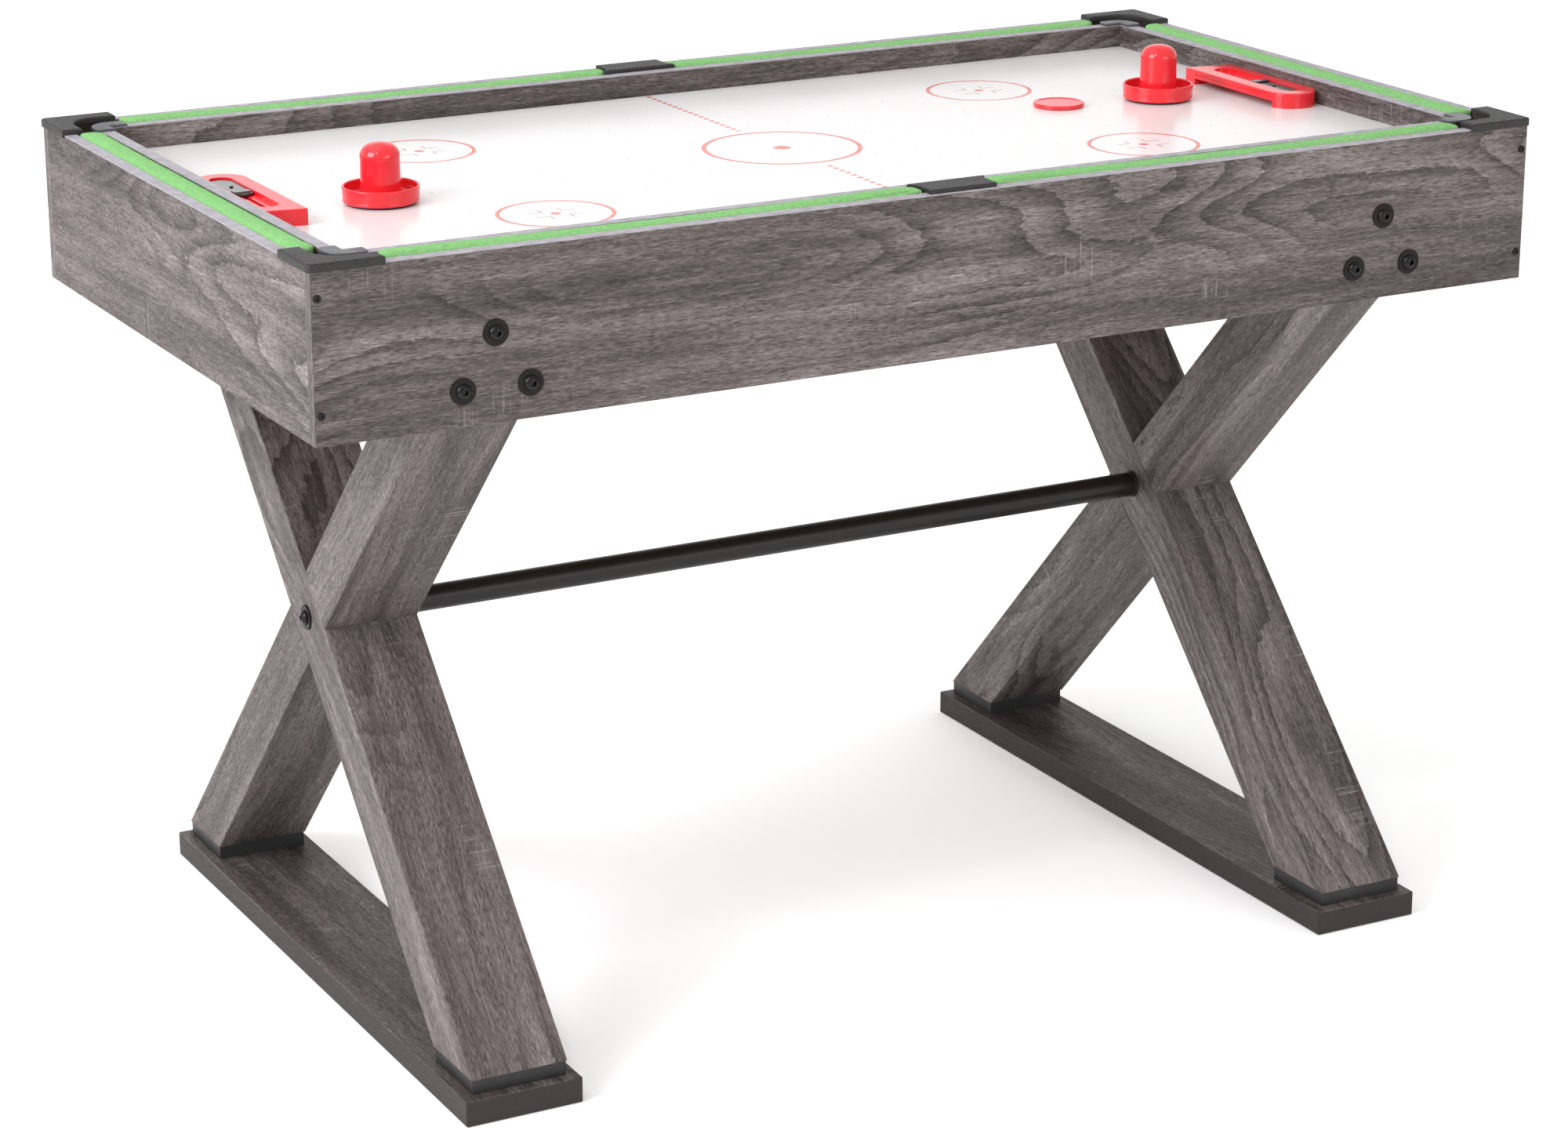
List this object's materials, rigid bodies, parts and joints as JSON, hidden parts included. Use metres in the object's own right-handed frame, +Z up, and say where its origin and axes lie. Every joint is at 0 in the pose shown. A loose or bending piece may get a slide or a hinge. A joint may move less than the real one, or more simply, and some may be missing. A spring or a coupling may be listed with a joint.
{
  "type": "air hockey table",
  "caption": "Household air hockey table: boxed apron on crossed board legs, green rail cushions, lift-out hockey top with goals, score sliders, strikers and puck.",
  "frame": {"origin": "on the floor, under the middle of the table", "axes": "+X along the table to the right-hand goal, +Y from the front to the rear, +Z up"},
  "size_m": [1.275, 0.75, 0.833],
  "materials": {
    "wood_laminate": "satin",
    "edge_banding": "matte",
    "green_felt": "matte",
    "cap_plastic": "grained",
    "trim_plastic": "satin",
    "red_plastic": "gloss",
    "playfield_white": "gloss",
    "hockey_laminate": "satin",
    "black_metal": "satin",
    "zinc_steel": "satin",
    "raw_pine": "matte",
    "fibre_board": "matte",
    "black_plastic": "satin",
    "slider_plastic": "gloss",
    "black_felt": "matte",
    "cable_rubber": "matte"
  },
  "bodies": {
    "table": {"apron_front": "wood_laminate", "apron_rear": "wood_laminate", "apron_left": "wood_laminate", "apron_right": "wood_laminate", "apron_edge_bands": "edge_banding", "cabinet_screws": "black_metal", "ledge_battens": "raw_pine", "cushion_front_left": "green_felt", "cushion_front_right": "green_felt", "cushion_rear_left": "green_felt", "cushion_rear_right": "green_felt", "cushion_left": "green_felt", "cushion_right": "green_felt", "cushion_rails": "raw_pine", "corner_caps": "cap_plastic", "side_caps": "cap_plastic", "frame_bolts": "black_metal", "bolt_washers": "black_metal", "leg_inserts": "zinc_steel", "leg_left_long_board": "wood_laminate", "leg_left_upper_board": "wood_laminate", "leg_left_lower_board": "wood_laminate", "leg_right_long_board": "wood_laminate", "leg_right_upper_board": "wood_laminate", "leg_right_lower_board": "wood_laminate", "leg_dowels": "raw_pine", "foot_left": "wood_laminate", "foot_right": "wood_laminate", "plinth_blocks": "black_plastic", "foot_screws": "zinc_steel", "stretcher_tube": "black_metal", "stretcher_end_plugs": "black_plastic"},
    "hockey_top": {"hockey_wall_front": "hockey_laminate", "hockey_wall_rear": "hockey_laminate", "hockey_wall_left": "hockey_laminate", "hockey_wall_right": "hockey_laminate", "hockey_edge_bands": "edge_banding", "plenum_floor": "fibre_board", "playfield_battens": "raw_pine", "playfield": "playfield_white", "hockey_corner_trims": "trim_plastic", "hockey_screws": "zinc_steel", "goal_left": "red_plastic", "goal_right": "red_plastic", "fan_frame": "black_plastic", "fan_motor": "zinc_steel", "fan_guard": "black_metal", "control_box": "black_plastic", "power_inlet": "zinc_steel", "fan_lead": "cable_rubber", "lead_clips": "black_plastic"},
    "pusher_left_body": {"pusher_left": "red_plastic", "pusher_felt_left": "black_felt"},
    "pusher_right_body": {"pusher_right": "red_plastic", "pusher_felt_right": "black_felt"},
    "puck_body": {"puck": "red_plastic"},
    "slider_left_body": {"score_slider_left": "slider_plastic"},
    "slider_right_body": {"score_slider_right": "slider_plastic"},
    "rotor_body": {"fan_rotor": "black_plastic"},
    "switch_body": {"power_switch": "black_plastic"}
  },
  "joints": [
    {"name": "hockey_top_lift", "type": "slide", "parent": "table", "child": "hockey_top", "axis": [0, 0, 1], "range_m": [0, 0.15]},
    {"name": "pusher_left_slide", "type": "slide", "parent": "hockey_top", "child": "pusher_left_body", "axis": [0, 1, 0], "range_m": [-0.225, 0.3]},
    {"name": "pusher_right_slide", "type": "slide", "parent": "hockey_top", "child": "pusher_right_body", "axis": [0, 1, 0], "range_m": [-0.29, 0.234]},
    {"name": "puck_slide", "type": "slide", "parent": "hockey_top", "child": "puck_body", "axis": [1, 0, 0], "range_m": [-0.72, 0.045]},
    {"name": "score_left_slide", "type": "slide", "parent": "hockey_top", "child": "slider_left_body", "axis": [0, 1, 0], "range_m": [-0.062, 0]},
    {"name": "score_right_slide", "type": "slide", "parent": "hockey_top", "child": "slider_right_body", "axis": [0, 1, 0], "range_m": [0, 0.062]},
    {"name": "rotor_spin", "type": "hinge", "parent": "hockey_top", "child": "rotor_body", "pos_m": [0, 0, 0.728], "axis": [0, 0, 1], "continuous": true},
    {"name": "switch_rock", "type": "hinge", "parent": "hockey_top", "child": "switch_body", "pos_m": [0.135, -0.282, 0.732], "axis": [0, 0, 1], "range_deg": [-16, 0]}
  ]
}
